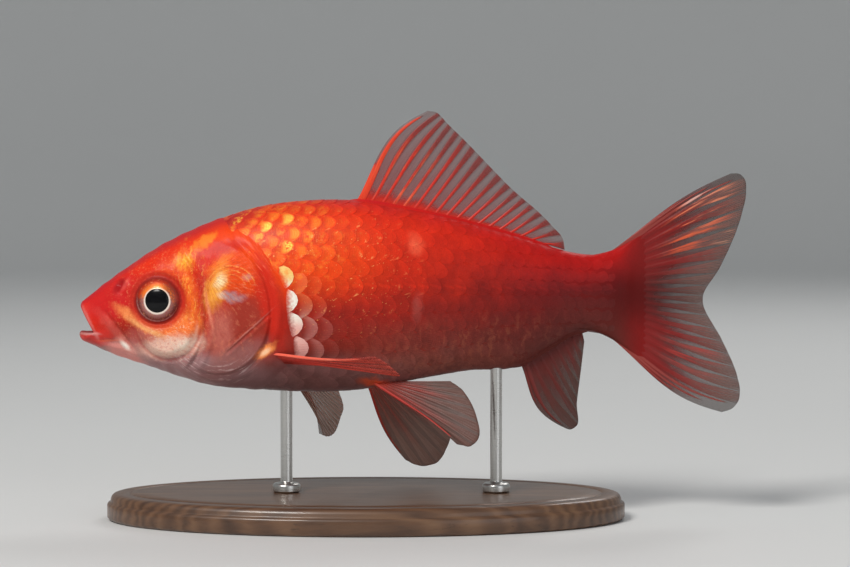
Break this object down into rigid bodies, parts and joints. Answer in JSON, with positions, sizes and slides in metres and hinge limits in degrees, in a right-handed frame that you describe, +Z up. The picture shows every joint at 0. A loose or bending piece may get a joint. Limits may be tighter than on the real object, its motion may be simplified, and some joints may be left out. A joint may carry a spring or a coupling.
{
  "type": "goldfish display model",
  "caption": "Life-size young goldfish in a level swimming pose, mouth slightly open and fins spread, held on two short rods over a flat oval base.",
  "frame": {"origin": "centre of the stand base's flat underside, which rests on the floor", "axes": "+X from the fish's snout towards its tail, +Y towards the fish's right side, +Z up"},
  "size_m": [0.1002, 0.044, 0.0613],
  "materials": {
    "skin": "wet, scaly skin, red-orange with gold and silver cheeks",
    "fins": "thin clear red membrane over rays",
    "eyes": "polished, black pupil in a gold and silver iris",
    "stand_wood": "dark, satin varnish",
    "stand_steel": "fine brushed"
  },
  "bodies": {
    "root": {"head": "skin", "upper_jaw": "skin", "lower_jaw": "skin", "gill_cover_left": "skin", "gill_cover_right": "skin", "trunk": "skin", "tail_stalk": "skin", "eye_left": "eyes", "eye_right": "eyes", "dorsal_fin": "fins", "anal_fin": "fins", "tail_fin": "fins", "pectoral_fin_left": "fins", "pectoral_fin_right": "fins", "pelvic_fin_left": "fins", "pelvic_fin_right": "fins", "stand_base": "stand_wood", "stand_rod_front": "stand_steel", "stand_rod_rear": "stand_steel"}
  },
  "joints": []
}
